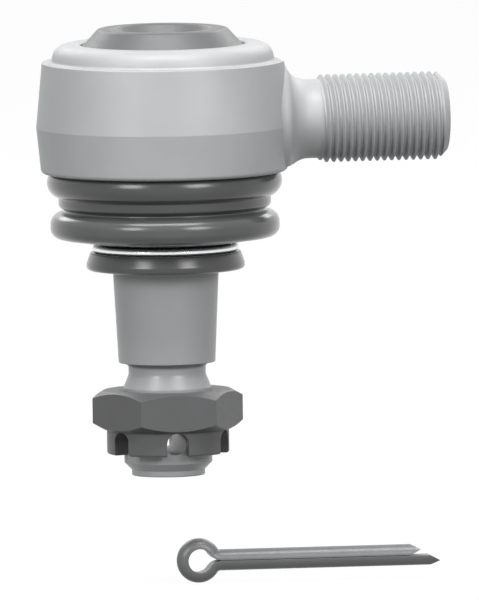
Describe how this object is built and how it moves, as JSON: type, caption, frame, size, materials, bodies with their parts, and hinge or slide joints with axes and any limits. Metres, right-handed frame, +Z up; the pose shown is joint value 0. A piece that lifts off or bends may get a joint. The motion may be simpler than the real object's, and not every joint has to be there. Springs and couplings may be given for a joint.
{
  "type": "angle ball joint",
  "caption": "Angle ball joint: forged housing with a threaded side shank, swinging tapered ball stud, rubber boot, castle nut and split pin.",
  "frame": {"origin": "centre of the ball, where the stud's axis meets the shank's axis", "axes": "+Z up along the stud's axis towards the closing cover, the stud hangs along -Z; +X along the shank towards its threaded end"},
  "size_m": [0.0844, 0.0522, 0.114],
  "materials": {
    "forged_steel": "satin, machined forging",
    "cover_steel": "satin, pressed",
    "stud_steel": "ground",
    "nut_steel": "dark, oiled",
    "pin_steel": "drawn wire",
    "bright_wire": "bright wire",
    "plated_steel": "zinc plated",
    "spring_steel": "oiled spring steel",
    "acetal": "moulded",
    "boot_rubber": "smooth moulded rubber",
    "rubber": "moulded rubber"
  },
  "bodies": {
    "joint_housing": {"housing": "forged_steel", "closing_cover": "cover_steel", "cover_seal": "rubber", "pressure_spring": "spring_steel", "boot": "boot_rubber", "boot_upper_ring": "plated_steel", "cotter_pin": "pin_steel"},
    "ball_seat": {"upper_seat": "acetal", "lower_seat": "acetal"},
    "boot_foot": {"boot_lower_ring": "bright_wire", "boot_foot_insert": "plated_steel"},
    "stud": {"ball_stud": "stud_steel"},
    "nut": {"castle_nut": "nut_steel"}
  },
  "joints": [
    {"name": "tilt_direction", "type": "hinge", "parent": "joint_housing", "child": "ball_seat", "pos_m": [0, 0, 0], "axis": [0, 0, 1], "continuous": true},
    {"name": "tilt", "type": "hinge", "parent": "ball_seat", "child": "boot_foot", "pos_m": [0, 0, 0], "axis": [0, 1, 0], "range_deg": [-20, 20], "deforming": ["boot"]},
    {"name": "spin", "type": "hinge", "parent": "boot_foot", "child": "stud", "pos_m": [0, 0, 0], "axis": [0, 0, 1], "continuous": true},
    {"name": "nut_turn", "type": "hinge", "parent": "stud", "child": "nut", "pos_m": [0, 0, -0.0597], "axis": [0, 0, 1], "range_deg": [-180, 180]}
  ]
}
